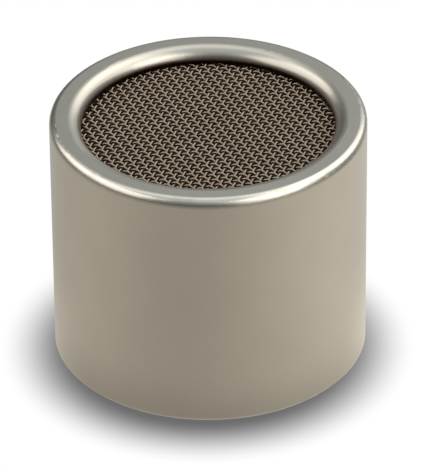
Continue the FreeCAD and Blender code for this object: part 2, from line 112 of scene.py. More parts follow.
class Graph:
    """Builds one node tree, of a material, a world or a geometry modifier."""

    def __init__(self, tree: bpy.types.NodeTree) -> None:
        """Starts on a tree, emptied.

        Args:
            tree: The tree to build.
        """
        tree.nodes.clear()
        self.tree = tree

    def node(
        self,
        kind: str,
        settings: dict[str, Any] | None = None,
        inputs: dict[Any, Any] | None = None,
    ) -> bpy.types.Node:
        """Adds a node.

        Args:
            kind: The node's type.
            settings: Properties, set first.
            inputs: Numbers, colours or links for its sockets, by name or index.

        Returns:
            The new node.
        """
        made = self.tree.nodes.new(kind)
        for name, setting in (settings or {}).items():
            setattr(made, name, setting)
        for name, value in (inputs or {}).items():
            if isinstance(value, Value):
                self.tree.links.new(value.socket, made.inputs[name])
            else:
                made.inputs[name].default_value = value
        return made

    def get(
        self,
        kind: str,
        settings: dict[str, Any] | None = None,
        inputs: dict[Any, Any] | None = None,
        output: Any = 0,
    ) -> Value:
        """Adds a node and returns one of its outputs.

        Args:
            kind: The node's type.
            settings: Properties, set first.
            inputs: Numbers, colours or links for its sockets.
            output: The wanted output's name or index.

        Returns:
            The wrapped output.
        """
        return Value(self, self.node(kind, settings, inputs).outputs[output])

    def math(self, operation: str, *terms: Number) -> Value:
        """One Math node.

        Args:
            operation: Its operation.
            terms: Its inputs, in order.

        Returns:
            The result.
        """
        return self.get("ShaderNodeMath", {"operation": operation}, dict(enumerate(terms)))

    def vector(self, operation: str, *terms: Any, output: Any = 0) -> Value:
        """One Vector Math node.

        Args:
            operation: Its operation.
            terms: Its inputs, in order.
            output: "Value" where the operation gives a number.

        Returns:
            The result.
        """
        return self.get("ShaderNodeVectorMath", {"operation": operation}, dict(enumerate(terms)), output)

    def scaled(self, vector: Any, factor: Number) -> Value:
        """A vector times a number."""
        return self.get("ShaderNodeVectorMath", {"operation": "SCALE"}, {0: vector, "Scale": factor})

    def blend(self, factor: Number, first: Any, second: Any) -> Value:
        """Mixes two colours.

        Args:
            factor: Share of the second.
            first: A colour or a link.
            second: A colour or a link.

        Returns:
            The mixed colour.
        """
        inputs = {"Factor": factor, 6: rgba(first), 7: rgba(second)}
        return self.get("ShaderNodeMix", {"data_type": "RGBA"}, inputs, 2)

    def smooth(self, value: Number, low: float, high: float) -> Value:
        """A soft step from nought at low to one at high."""
        ranges = {"Value": value, "From Min": low, "From Max": high, "To Min": 0.0, "To Max": 1.0}
        return self.get("ShaderNodeMapRange", {"interpolation_type": "SMOOTHSTEP"}, ranges)

    def noise(self, where: Any, size: float, detail: float = 2.0, flat: bool = False) -> Value:
        """Noise with a mean of one half.

        Args:
            where: Place that the noise is read at.
            size: Rough size of its lumps, in metres.
            detail: Finer octaves.
            flat: True to read only the first two coordinates.

        Returns:
            The noise.
        """
        settings = {"noise_dimensions": "2D" if flat else "3D"}
        inputs = {"Vector": where, "Scale": 1.0 / size, "Detail": detail}
        return self.get("ShaderNodeTexNoise", settings, inputs)


def rgba(colour: Any) -> Any:
    """Adds alpha to a plain colour, and passes a link on as it is."""
    return colour if isinstance(colour, Value) else (*colour, 1.0)


class Surface:
    """A principled shader in a new material, with the object's own coordinates at hand."""

    def __init__(self, name: str) -> None:
        """Makes the material.

        Args:
            name: The material's name.
        """
        self.material = bpy.data.materials.new(name)
        self.material.use_nodes = True
        self.graph = Graph(self.material.node_tree)
        self.place = self.graph.get("ShaderNodeTexCoord", output="Object")
        self._split = self.graph.node("ShaderNodeSeparateXYZ", inputs={0: self.place})

    def across(self) -> Value:
        """Distance from the axis, in metres."""
        flat = self.graph.vector("MULTIPLY", self.place, (1.0, 1.0, 0.0))
        return self.graph.vector("LENGTH", flat, output="Value")

    def height(self) -> Value:
        """Height above the rear rim, in metres."""
        return Value(self.graph, self._split.outputs["Z"])

    def lathe(self, size: float) -> Value:
        """Fine lines that a lathe leaves round the axis, about a size apart."""
        spot = self.graph.get("ShaderNodeCombineXYZ", inputs={0: self.across(), 1: self.height()})
        return self.graph.noise(spot, size, 3.0, flat=True)

    def finish(
        self, height: Value, constants: dict[str, Any], varied: dict[str, Value]
    ) -> bpy.types.Material:
        """Closes the material.

        Args:
            height: Relief in metres, for the bump.
            constants: Plain values for the shader's sockets.
            varied: What changes over the surface.

        Returns:
            The material.
        """
        bump = self.graph.get("ShaderNodeBump", inputs={"Strength": 1.0, "Distance": 1.0, "Height": height})
        sockets = {**constants, **varied, "Normal": bump}
        shader = self.graph.get("ShaderNodeBsdfPrincipled", inputs=sockets)
        self.graph.node("ShaderNodeOutputMaterial", inputs={"Surface": shader})
        return self.material


@dataclass(frozen=True)
class Metal:
    """A turned or plated metal.

    Attributes:
        name: Material name.
        colour: Reflected colour, linear.
        roughness: Mean roughness.
        grain: Size of the blasted or plated grain.
        grain_depth: Relief of that grain.
        lines: Spacing of the lathe's lines.
        line_depth: Relief of those lines.
        mottle: Share by which the colour drifts over the surface.
    """

    name: str
    colour: Colour
    roughness: float
    grain: float = 0.06 * MM
    grain_depth: float = 0.0006 * MM
    lines: float = 0.05 * MM
    line_depth: float = 0.001 * MM
    mottle: float = 0.05

    def material(self) -> bpy.types.Material:
        """Builds the metal's material.

        Returns:
            The material.
        """
        surface = Surface(self.name)
        graph = surface.graph
        grain = graph.noise(surface.place, self.grain)
        lines = surface.lathe(self.lines)
        drift = graph.noise(surface.place, 3.0 * MM, 3.0)
        deep = tuple(part * (1.0 - 2.0 * self.mottle) for part in self.colour)
        colour = graph.blend(graph.smooth(drift, 0.25, 0.6), deep, self.colour)
        roughness = self.roughness * (0.9 + 0.2 * graph.noise(surface.place, 0.8 * MM))
        relief = grain * self.grain_depth + lines * self.line_depth
        return surface.finish(relief, {"Metallic": 1.0}, {"Base Color": colour, "Roughness": roughness})


@dataclass(frozen=True)
class ShellNickel:
    """The shell's blasted satin nickel, with brighter outer edges at the rim and the foot: partly wear where
    handling rubs them, partly painted highlight on the outer round at the rim.

    Attributes:
        name: Material name.
        colour: Reflected colour, linear.
        worn_and_highlight: Colour of those brighter edges, partly rubbed metal, partly painted highlight.
        roughness: Roughness of the blasted faces.
        worn_roughness: Roughness of the rubbed edges.
        grain: Size of the blasted grain.
        grain_depth: Relief of the grain.
        line_depth: Relief of the turning lines that the blasting leaves.
        painted_shade: Colour of the painted shade low in the opening, in the recess where the lip meets the
            grille.
        painted_shade_low: Height at which that painted shade fully covers the metal.
        painted_shade_high: Height at which the metal is free of it.
        shoulder: Distances below the rim between which bump eases the outer round's foot.
        shoulder_depth: Depth of that bump, on the outside alone; the mesh lacks it.
        radius: Outside radius of the shell.
        length: Length of the shell.
        rub_and_highlight_edge: Distances in from the outside over which the rubbing and its painted highlight
            set in.
        rub_and_highlight_top: The same below the rim.
        rub_foot: Heights over which rubbing of the foot ends.
        painted_shade_edge: Distances in from the outside over which that painted shade ends.
        level_from: Distance in from the outside, on the flat ring, from which that bump is level.
    """

    name: str
    colour: Colour
    worn_and_highlight: Colour
    roughness: float
    worn_roughness: float
    grain: float
    grain_depth: float
    line_depth: float
    painted_shade: Colour
    painted_shade_low: float
    painted_shade_high: float
    shoulder: tuple[float, float]
    shoulder_depth: float
    radius: float
    length: float
    rub_and_highlight_edge: tuple[float, float] = (0.45 * MM, 0.20 * MM)
    rub_and_highlight_top: tuple[float, float] = (0.46 * MM, 0.20 * MM)
    rub_foot: tuple[float, float] = (0.05 * MM, 0.3 * MM)
    painted_shade_edge: tuple[float, float] = (1.7 * MM, 1.5 * MM)
    level_from: float = 1.0 * MM

    def material(self) -> bpy.types.Material:
        """Builds the shell's material.

        Returns:
            The material.
        """
        surface = Surface(self.name)
        graph = surface.graph
        across, height = surface.across(), surface.height()
        # Brighter outer edges at the rim and the foot: partly wear, partly painted highlight on the outer
        # round.
        outer = graph.smooth(across, self.radius - self.rub_and_highlight_edge[0], self.radius - self.rub_and_highlight_edge[1])
        top = graph.smooth(height, self.length - self.rub_and_highlight_top[0], self.length - self.rub_and_highlight_top[1])
        foot = 1.0 - graph.smooth(height, *self.rub_foot)
        uneven = graph.smooth(graph.noise(surface.place, 1.2 * MM, 4.0), 0.2, 0.55)
        rubbed_and_highlight = outer * graph.math("MAXIMUM", top, foot) * uneven
        drift = graph.smooth(graph.noise(surface.place, 4.0 * MM, 3.0), 0.2, 0.8)
        speck = graph.smooth(graph.noise(surface.place, 0.12 * MM, 2.0), 0.35, 0.65)
        deep = tuple(part * 0.93 for part in self.colour)
        colour = graph.blend(0.65 * drift + 0.35 * speck, deep, self.colour)
        colour = graph.blend(rubbed_and_highlight, colour, self.worn_and_highlight)
        # Painted shade: the lip's inner round darkens to near black towards the grille, in the recess between
        # them.
        inside = 1.0 - graph.smooth(across, self.radius - self.painted_shade_edge[0], self.radius - self.painted_shade_edge[1])
        painted_shade_share = inside * (1.0 - graph.smooth(height, self.painted_shade_low, self.painted_shade_high))
        colour = graph.blend(painted_shade_share, colour, self.painted_shade)
        rough = self.roughness * (0.94 + 0.12 * graph.noise(surface.place, 0.5 * MM))
        rough = rough + (self.worn_roughness - self.roughness) * rubbed_and_highlight
        relief = graph.noise(surface.place, self.grain) * self.grain_depth
        relief = relief + surface.lathe(0.09 * MM) * self.line_depth
        eased = graph.smooth(height, self.length - self.shoulder[0], self.length - self.shoulder[1])
        within = 1.0 - (across > self.radius - self.level_from)
        relief = relief - self.shoulder_depth * graph.math("MAXIMUM", eased, within)
        return surface.finish(relief, {"Metallic": 1.0}, {"Base Color": colour, "Roughness": rough})


@dataclass(frozen=True)
class WireNickel:
    """Drawn and plated wire, darkened with painted shade low in the weave, where the wires pass under one
    another, and rougher there.

    Attributes:
        name: Material name.
        colour: Reflected colour, linear.
        low_shade: Colour low in the weave, a painted shade.
        roughness: Roughness of the plating.
        low: Height at which the wire takes the full painted shade and roughness.
        high: Height at which it has neither.
    """

    name: str
    colour: Colour
    low_shade: Colour
    roughness: float
    low: float
    high: float

    def material(self) -> bpy.types.Material:
        """Builds the wire's material.

        Returns:
            The material.
        """
        surface = Surface(self.name)
        graph = surface.graph
        # Painted shade: the wire darkens and roughens towards the weave's middle and below it.
        unshaded_share = graph.smooth(surface.height(), self.low, self.high)
        patch = graph.smooth(graph.noise(surface.place, 1.5 * MM, 3.0), 0.3, 0.7)
        colour = graph.blend(unshaded_share * (0.72 + 0.28 * patch), self.low_shade, self.colour)
        rough = self.roughness + 0.12 * (1.0 - unshaded_share)
        relief = graph.noise(surface.place, 0.03 * MM) * (0.0008 * MM)
        return surface.finish(relief, {"Metallic": 1.0}, {"Base Color": colour, "Roughness": rough})


@dataclass(frozen=True)
class Moulding:
    """Moulded plastic or rubber.

    Attributes:
        name: Material name.
        colour: Body colour, linear.
        roughness: Mean roughness.
        grain: Size of the surface's grain.
        grain_depth: Relief of the grain.
    """

    name: str
    colour: Colour
    roughness: float
    grain: float = 0.15 * MM
    grain_depth: float = 0.002 * MM

    def material(self) -> bpy.types.Material:
        """Builds the plastic's material.

        Returns:
            The material.
        """
        surface = Surface(self.name)
        graph = surface.graph
        drift = graph.smooth(graph.noise(surface.place, 2.0 * MM, 3.0), 0.25, 0.75)
        deep = tuple(part * 0.86 for part in self.colour)
        colour = graph.blend(drift, deep, self.colour)
        grain = graph.noise(surface.place, self.grain, 3.0)
        rough = self.roughness * (0.9 + 0.2 * grain)
        relief = grain * self.grain_depth + surface.lathe(0.08 * MM) * (0.4 * self.grain_depth)
        return surface.finish(relief, {"Metallic": 0.0}, {"Base Color": colour, "Roughness": rough})


@dataclass(frozen=True)
class Cloth:
    """Fine gauze, cloth or glass-fibre sheet: threads that cross at right angles.

    Attributes:
        name: Material name.
        thread: Colour of the threads.
        gap: Colour between them.
        pitch: Thread to thread.
        roughness: Mean roughness.
        sheen: Soft sheen of the fibres.
        relief: Height of the threads.
    """

    name: str
    thread: Colour
    gap: Colour
    pitch: float
    roughness: float
    sheen: float
    relief: float

    def material(self) -> bpy.types.Material:
        """Builds the cloth's material.

        Returns:
            The material.
        """
        surface = Surface(self.name)
        graph = surface.graph
        parts = graph.node("ShaderNodeSeparateXYZ", inputs={0: surface.place})
        waves = [self._wave(graph, Value(graph, parts.outputs[axis])) for axis in ("X", "Y")]
        threads = graph.math("MAXIMUM", *waves)
        fuzz = graph.noise(surface.place, 0.4 * MM, 3.0)
        colour = graph.blend(threads * (0.8 + 0.4 * fuzz), self.gap, self.thread)
        rough = self.roughness * (0.95 + 0.1 * fuzz)
        constants = {"Metallic": 0.0, "Sheen Weight": self.sheen}
        return surface.finish(threads * self.relief, constants, {"Base Color": colour, "Roughness": rough})

    def _wave(self, graph: Graph, along: Value) -> Value:
        """Rises to one at each thread and falls to nought between them."""
        return 0.5 + 0.5 * graph.math("COSINE", along * (2.0 * math.pi / self.pitch))


@dataclass(frozen=True)
class Film:
    """Thin plastic film, metallised or clear amber.

    Attributes:
        name: Material name.
        colour: Body colour, linear.
        roughness: Mean roughness.
        metallic: One where the film is metallised.
    """

    name: str
    colour: Colour
    roughness: float
    metallic: float

    def material(self) -> bpy.types.Material:
        """Builds the film's material, with faint ripples of its tension.

        Returns:
            The material.
        """
        surface = Surface(self.name)
        graph = surface.graph
        ripple = graph.noise(surface.place, 1.5 * MM, 2.0)
        deep = tuple(part * 0.9 for part in self.colour)
        colour = graph.blend(graph.smooth(ripple, 0.3, 0.7), deep, self.colour)
        rough = self.roughness * (0.85 + 0.3 * ripple)
        constants = {"Metallic": self.metallic}
        return surface.finish(ripple * (0.002 * MM), constants, {"Base Color": colour, "Roughness": rough})


Finish = Union[Metal, ShellNickel, WireNickel, Moulding, Cloth, Film]

BRASS = Metal("turned_brass", (0.62, 0.44, 0.18), 0.28)
BLACKENED = Metal("blackened_brass", (0.045, 0.04, 0.035), 0.45)
GOLD = Metal("gold_plate", (0.86, 0.60, 0.24), 0.16, lines=0.035 * MM)
NICKEL_SILVER = Metal("nickel_silver", (0.60, 0.57, 0.50), 0.22)
SPRING_STEEL = Metal("spring_steel", (0.36, 0.36, 0.37), 0.32)
RING_NICKEL = Metal("ring_nickel", (0.34, 0.32, 0.28), 0.34, line_depth=0.0015 * MM)
BLACK_PLASTIC = Moulding("black_plastic", (0.018, 0.018, 0.018), 0.5)
WHITE_PLASTIC = Moulding("white_plastic", (0.72, 0.70, 0.64), 0.42)
RUBBER = Moulding("rubber", (0.014, 0.014, 0.014), 0.72)
GAUZE = Cloth("dust_gauze", (0.036, 0.020, 0.008), (0.016, 0.008, 0.003), 0.05 * MM, 0.85, 0.05, 0.01 * MM)
SILK = Cloth("damping_silk", (0.42, 0.40, 0.34), (0.12, 0.11, 0.09), 0.06 * MM, 0.8, 0.3, 0.01 * MM)
BOARD = Cloth("fibre_board", (0.66, 0.60, 0.40), (0.50, 0.45, 0.27), 0.28 * MM, 0.38, 0.0, 0.002 * MM)
AMBER_FILM = Film("amber_film", (0.55, 0.26, 0.04), 0.2, 0.0)
METAL_FILM = Film("metallised_film", (0.78, 0.62, 0.30), 0.12, 1.0)


def dress(node: str, finish: Finish) -> None:
    """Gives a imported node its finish.

    Args:
        node: The node's name.
        finish: The finish.
    """
    paint(frame["nodes"][node], finish.material())
    log.info("dressed %s in %s", node, finish.name)


def paint(piece: bpy.types.Object, material: bpy.types.Material) -> None:
    """Puts one material in every slot of a piece.

    Args:
        piece: The piece.
        material: The material.
    """
    if not piece.data.materials:
        piece.data.materials.append(material)
    for index in range(len(piece.data.materials)):
        piece.data.materials[index] = material


def carry(piece: bpy.types.Object, slot: str, *nodes: str) -> None:
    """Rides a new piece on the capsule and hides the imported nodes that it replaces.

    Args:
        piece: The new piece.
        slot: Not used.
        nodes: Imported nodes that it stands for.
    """
    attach(piece, ROOT)
    if nodes:
        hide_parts(*nodes)
    piece.data.calc_loop_triangles()
    log.info("made %s with %d triangles", piece.name, len(piece.data.loop_triangles))


class Modelled:
    """A piece made by a geometry modifier whose inputs are named sizes."""

    def __init__(self, name: str, inputs: dict[str, Any]) -> None:
        """Starts the modifier's tree.

        Args:
            name: Name of the piece.
            inputs: The sizes, by name: whole numbers, lengths or vectors.
        """
        self.name = name
        self.inputs = inputs
        tree = bpy.data.node_groups.new(name + "_tree", "GeometryNodeTree")
        self.graph = Graph(tree)
        self.sockets: dict[str, str] = {}
        for label, given in inputs.items():
            socket = tree.interface.new_socket(label, in_out="INPUT", socket_type=self._kind(given))
            self.sockets[label] = socket.identifier
        tree.interface.new_socket("Mesh", in_out="OUTPUT", socket_type="NodeSocketGeometry")
        self.group = self.graph.node("NodeGroupInput")

    @staticmethod
    def _kind(given: Any) -> str:
        """The socket type that suits an input.

        Args:
            given: The input's value.

        Returns:
            The type's name.
        """
        if isinstance(given, bpy.types.Material):
            return "NodeSocketMaterial"
        if isinstance(given, int):
            return "NodeSocketInt"
        return "NodeSocketFloat" if isinstance(given, float) else "NodeSocketVector"

    def size(self, label: str) -> Value:
        """One of the named inputs."""
        return Value(self.graph, self.group.outputs[label])

    def make(self, mesh: Value) -> bpy.types.Object:
        """Ends the tree, runs it once and keeps the result as a plain mesh.

        Args:
            mesh: The geometry before its material.

        Returns:
            The finished piece.
        """
        real = self.graph.get("GeometryNodeRealizeInstances", inputs={0: mesh})
        smooth = self.graph.get("GeometryNodeSetShadeSmooth", inputs={0: real})
        inputs = {0: smooth, "Material": self.size("Material")}
        dressed = self.graph.get("GeometryNodeSetMaterial", inputs=inputs)
        self.graph.node("NodeGroupOutput", inputs={0: dressed})
        piece = bpy.data.objects.new(self.name, bpy.data.meshes.new(self.name + "_start"))
        bpy.context.collection.objects.link(piece)
        modifier = piece.modifiers.new("shape", "NODES")
        modifier.node_group = self.graph.tree
        for label, given in self.inputs.items():
            modifier[self.sockets[label]] = given
        bpy.context.view_layer.update()
        ready = piece.evaluated_get(bpy.context.evaluated_depsgraph_get())
        result = bpy.data.meshes.new_from_object(ready)
        piece.modifiers.clear()
        piece.data = result
        result.name = self.name
        return piece


class WireSet(Enum):
    """The two sets of wires of a plain weave, with the sign of the rise where both counts are even."""

    WARP = 1.0
    WEFT = -1.0


@dataclass
class Grille:
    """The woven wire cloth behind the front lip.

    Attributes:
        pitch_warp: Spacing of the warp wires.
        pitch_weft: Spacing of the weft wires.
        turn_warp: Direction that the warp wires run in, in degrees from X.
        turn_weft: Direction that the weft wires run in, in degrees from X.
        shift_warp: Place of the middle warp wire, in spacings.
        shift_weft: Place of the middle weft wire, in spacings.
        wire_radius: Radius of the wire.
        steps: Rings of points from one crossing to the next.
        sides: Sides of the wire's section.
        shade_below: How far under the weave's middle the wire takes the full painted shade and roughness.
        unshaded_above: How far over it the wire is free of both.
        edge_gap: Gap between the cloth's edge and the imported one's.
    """

    pitch_warp: float = 0.4211 * MM
    pitch_weft: float = 0.417 * MM
    turn_warp: float = 65.23
    turn_weft: float = -23.59
    shift_warp: float = -0.241
    shift_weft: float = -0.471
    wire_radius: float = 0.078 * MM
    steps: int = 8
    sides: int = 8
    shade_below: float = 0.07 * MM
    unshaded_above: float = 0.11 * MM
    edge_gap: float = 0.02 * MM
    radius: float = field(init=False)
    top: float = field(init=False)

    def __post_init__(self) -> None:
        """Reads the cloth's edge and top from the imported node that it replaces."""
        low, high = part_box("grille_mesh")
        self.radius = (high[0] - low[0]) / 2 - self.edge_gap
        self.top = high[2]

    def steps_of(self, wires: WireSet) -> tuple[Vector, Vector]:
        """The move along a wire from crossing to crossing, and the move to the next wire of its set.

        Args:
            wires: The set of wires.

        Returns:
            Both moves, in metres.
        """
        turns = (math.radians(self.turn_warp), math.radians(self.turn_weft))
        warp, weft = (Vector((math.cos(turn), math.sin(turn), 0.0)) for turn in turns)
        skew = abs(warp.cross(weft).z)
        along_warp, along_weft = warp * (self.pitch_weft / skew), weft * (self.pitch_warp / skew)
        return (along_warp, along_weft) if wires is WireSet.WARP else (along_weft, along_warp)

    def build(self) -> None:
        """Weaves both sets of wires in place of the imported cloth."""
        rise = self.wire_radius
        middle = self.top - 2.0 * rise
        finish = WireNickel(
            name="wire_nickel",
            colour=(0.196, 0.159, 0.127),
            # Painted shade colour for the wire low in the weave.
            low_shade=(0.125, 0.092, 0.066),
            roughness=0.36,
            low=middle - self.shade_below,
            high=middle + self.unshaded_above,
        )
        material = finish.material()
        for wires in WireSet:
            piece = self.weave(wires, middle, rise, material)
            carry(piece, "grille_wire", "grille_mesh")

    def weave(
        self, wires: WireSet, middle: float, rise: float, material: bpy.types.Material
    ) -> bpy.types.Object:
        """Makes one set of wires.

        Args:
            wires: The set.
            middle: Height of the weave's middle.
            rise: How far a wire's centre line swings from it.
            material: The wires' material.

        Returns:
            The set as one piece.
        """
        along, across = self.steps_of(wires)
        reach = int(self.radius / min(self.pitch_warp, self.pitch_weft)) + 2
        shifts = (self.shift_weft, self.shift_warp)
        if wires is WireSet.WEFT:
            shifts = shifts[::-1]
        sizes = {
            "Along": along,
            "Across": across,
            "Shift Along": shifts[0],
            "Shift Across": shifts[1],
            "Reach": reach,
            "Steps": self.steps,
            "Middle": middle,
            "Rise": rise * wires.value,
            "Disc Radius": self.radius,
            "Wire Radius": self.wire_radius,
            "Wire Sides": self.sides,
            "Material": material,
        }
        piece = Modelled(f"grille_{wires.name.lower()}_wires", sizes)
        graph = piece.graph
        size = piece.size
        ends = {
            name: graph.get("ShaderNodeCombineXYZ", inputs={0: size("Reach") * sign})
            for name, sign in (("Start", -1.0), ("End", 1.0))
        }
        line = graph.get("GeometryNodeCurvePrimitiveLine", inputs=ends)
        count = size("Reach") * size("Steps") * 2.0 + 1.0
        line = graph.get("GeometryNodeResampleCurve", inputs={"Curve": line, "Count": count})
        first = graph.get("ShaderNodeCombineXYZ", inputs={1: size("Reach") * -1.0})
        spots = graph.get(
            "GeometryNodeMeshLine",
            inputs={"Count": size("Reach") * 2.0 + 1.0, "Start Location": first, "Offset": (0.0, 1.0, 0.0)},
        )
        wires_laid = graph.get("GeometryNodeInstanceOnPoints", inputs={"Points": spots, "Instance": line})
        wires_laid = graph.get("GeometryNodeRealizeInstances", inputs={0: wires_laid})
        spot = graph.node("ShaderNodeSeparateXYZ", inputs={0: graph.get("GeometryNodeInputPosition")})
        step, wire = Value(graph, spot.outputs[0]), Value(graph, spot.outputs[1])
        level = graph.vector(
            "ADD",
            graph.scaled(size("Along"), step + size("Shift Along")),
            graph.scaled(size("Across"), wire + size("Shift Across")),
        )
        swing = size("Middle") + size("Rise") * graph.math("COSINE", (step + wire) * math.pi)
        lifted = graph.vector("ADD", level, graph.get("ShaderNodeCombineXYZ", inputs={2: swing}))
        placed = graph.get("GeometryNodeSetPosition", inputs={"Geometry": wires_laid, "Position": lifted})
        flat = graph.vector("MULTIPLY", graph.get("GeometryNodeInputPosition"), (1.0, 1.0, 0.0))
        outside = graph.vector("LENGTH", flat, output="Value") > size("Disc Radius")
        doomed = {"Geometry": placed, "Selection": outside}
        trimmed = graph.get("GeometryNodeDeleteGeometry", {"domain": "POINT"}, doomed)
        section = graph.get(
            "GeometryNodeCurvePrimitiveCircle",
            inputs={"Resolution": size("Wire Sides"), "Radius": size("Wire Radius")},
        )
        swept = {"Curve": trimmed, "Profile Curve": section, "Fill Caps": True}
        return piece.make(graph.get("GeometryNodeCurveToMesh", inputs=swept))


@dataclass
class Shell:
    """The nickel-plated shell and the ridges of its body thread.

    Attributes:
        pitch: Thread pitch.
        ridge: How far the ridges stand in from the wall.
        root_width: Width of a ridge at the wall.
        crest_width: Width of a ridge at its crest.
        sunk: How deep the ridge's foot lies in the wall.
        facets: Points of the ridge in one turn.
        fade: Share of a turn over which the ridge grows at each end.
        weld: Distance under which the rolled grid's points are one.
    """

    pitch: float = 0.5 * MM
    ridge: float = 0.27 * MM
    root_width: float = 0.44 * MM
    crest_width: float = 0.08 * MM
    sunk: float = 0.02 * MM
    facets: int = 96
    fade: float = 0.4
    weld: float = 0.00001 * MM
    nickel: ShellNickel = field(init=False)

    def __post_init__(self) -> None:
        """Reads the shell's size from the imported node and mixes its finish."""
        low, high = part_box("outer_shell")
        self.nickel = ShellNickel(
            name="satin_nickel",
            colour=(0.345, 0.326, 0.294),
            # Lighter edge colour: partly wear, partly painted highlight on the outer round.
            worn_and_highlight=(0.42, 0.402, 0.366),
            roughness=0.30,
            worn_roughness=0.27,
            grain=0.07 * MM,
            grain_depth=0.0009 * MM,
            line_depth=0.0007 * MM,
            # Painted shade low in the lip's opening, where it meets the grille.
            painted_shade=(0.025, 0.012, 0.007),
            painted_shade_low=high[2] - 0.84 * MM,
            painted_shade_high=high[2] - 0.52 * MM,
            shoulder=(0.70 * MM, 0.22 * MM),
            shoulder_depth=0.07 * MM,
            radius=(high[0] - low[0]) / 2,
            length=high[2] - low[2],
        )

    def build(self) -> None:
        """Dresses the shell and lays the thread's ridges in its bore."""
        dress("outer_shell", self.nickel)
        carry(self.thread(), "satin_nickel")

    def thread(self) -> bpy.types.Object:
        """Winds the thread as a grid rolled up into a helix, thinning to nothing at both ends.

        Returns:
            The ridges as one piece.
        """
        mount = next(m for m in frame["record"]["mounts"] if m["name"] == "body_thread")
        span = mount["dims"]["length_mm"] * MM
        start = mount["pos_m"][2] - span / 2
        turns = (span - self.root_width) / self.pitch
        sizes = {
            "Wall Radius": mount["dims"]["r_mm"] * MM,
            "Start": start + self.root_width / 2,
            "Pitch": self.pitch,
            "Turns": turns,
            "Ridge": self.ridge,
            "Root Width": self.root_width,
            "Crest Width": self.crest_width,
            "Sunk": self.sunk,
            "Points": int(turns * self.facets),
            "Material": RING_NICKEL.material(),
        }
        piece = Modelled("body_thread_ridges", sizes)
        graph, size = piece.graph, piece.size
        lattice = {"Size X": 1.0, "Size Y": 4.0, "Vertices X": size("Points"), "Vertices Y": 5}
        grid = graph.node("GeometryNodeMeshGrid", inputs=lattice)
        spot = graph.node("ShaderNodeSeparateXYZ", inputs={0: graph.get("GeometryNodeInputPosition")})
        share = Value(graph, spot.outputs[0]) + 0.5
        corner = graph.math("MODULO", graph.math("ROUND", Value(graph, spot.outputs[1]) + 2.0), 4.0)
        grown = graph.smooth(share * size("Turns"), 0.0, self.fade)
        fade = grown * graph.smooth((1.0 - share) * size("Turns"), 0.0, self.fade)
        crest = graph.math("COMPARE", corner, 1.5, 0.6)
        side = (corner > 1.5) * 2.0 - 1.0
        width = (crest * size("Crest Width") + (1.0 - crest) * size("Root Width")) * 0.5 * fade * side
        radius = size("Wall Radius") + size("Sunk") - crest * fade * (size("Ridge") + size("Sunk"))
        turn = share * size("Turns") * (2.0 * math.pi)
        height = size("Start") + share * size("Turns") * size("Pitch") + width
        where = graph.get(
            "ShaderNodeCombineXYZ",
            inputs={0: radius * graph.math("COSINE", turn), 1: radius * graph.math("SINE", turn), 2: height},
        )
        flat_mesh = Value(graph, grid.outputs["Mesh"])
        rolled = graph.get("GeometryNodeSetPosition", inputs={"Geometry": flat_mesh, "Position": where})
        welded = {"Geometry": rolled, "Distance": self.weld}
        closed = graph.get("GeometryNodeMergeByDistance", inputs=welded)
        outward = graph.get("GeometryNodeFlipFaces", inputs={"Mesh": closed})
        return piece.make(outward)


@dataclass
class FrontStack:
    """The gauze behind the grille, the ring that clamps it, the sleeve and its gasket."""

    def build(self) -> None:
        """Dresses the pieces."""
        dress("dust_gauze", GAUZE)
        dress("front_spacer", BLACKENED)
        dress("centring_sleeve", BLACK_PLASTIC)
        dress("cartridge_gasket", RUBBER)


@dataclass
class Cartridge:
    """The half-inch cartridge with its diaphragm, backplate and terminal."""

    def build(self) -> None:
        """Dresses the pieces."""
        for node in ("cartridge_body", "tension_ring", "clamp_ring", "terminal_washer"):
            dress(node, BRASS)
        dress("backplate_insulator", WHITE_PLASTIC)
        dress("backplate", NICKEL_SILVER)
        dress("damping_cloth", SILK)
        dress("diaphragm_spacer", AMBER_FILM)
        dress("diaphragm_film", METAL_FILM)
        dress("terminal_screw", GOLD)


@dataclass
class RearContact:
    """What clamps the cartridge from behind, and the contact to the microphone's body."""

    def build(self) -> None:
        """Dresses the pieces."""
        dress("spring_washer", SPRING_STEEL)
        dress("pressure_ring", BRASS)
        dress("contact_plate", BOARD)
        dress("centre_contact", GOLD)
        dress("contact_nut", BRASS)
        dress("contact_spring", GOLD)
        dress("retaining_ring", RING_NICKEL)


@dataclass
class Camera:
    """The photograph's camera, as fitted to the outlines of both rims.

    Attributes:
        elevation: Height of the view above the horizon, in degrees.
        roll: Turn about the line of sight, in degrees.
        distance: From the point looked at.
        target: The point looked at.
        focal_pixels: Focal length in pixels of the picture.
        picture: Width and height of the picture in pixels.
        sensor: Sensor size along the picture's long side, in millimetres.
    """

    elevation: float = 32.92
    roll: float = -0.52
    distance: float = 325.7 * MM
    target: Vector = field(default_factory=lambda: Vector((0.519, 0.0, 7.524)) * MM)
    focal_pixels: float = 5112.0
    picture: tuple[int, int] = (435, 468)
    sensor: float = 36.0

    def build(self) -> None:
        """Places the camera and makes it the scene's."""
        lift, tilt = math.radians(self.elevation), math.radians(self.roll)
        back = Vector((0.0, -math.cos(lift), math.sin(lift)))
        level = Vector((1.0, 0.0, 0.0))
        upright = back.cross(level)
        right = level * math.cos(tilt) + upright * math.sin(tilt)
        up = upright * math.cos(tilt) - level * math.sin(tilt)
        lens = bpy.data.cameras.new("camera")
        lens.sensor_width = self.sensor
        lens.lens = self.focal_pixels * self.sensor / max(self.picture)
        lens.clip_start = 0.01
        lens.clip_end = 10.0
        camera = bpy.data.objects.new("camera", lens)
        axes = Matrix((right, up, back)).transposed().to_4x4()
        camera.matrix_world = Matrix.Translation(self.target + back * self.distance) @ axes
        bpy.context.collection.objects.link(camera)
        bpy.context.scene.camera = camera


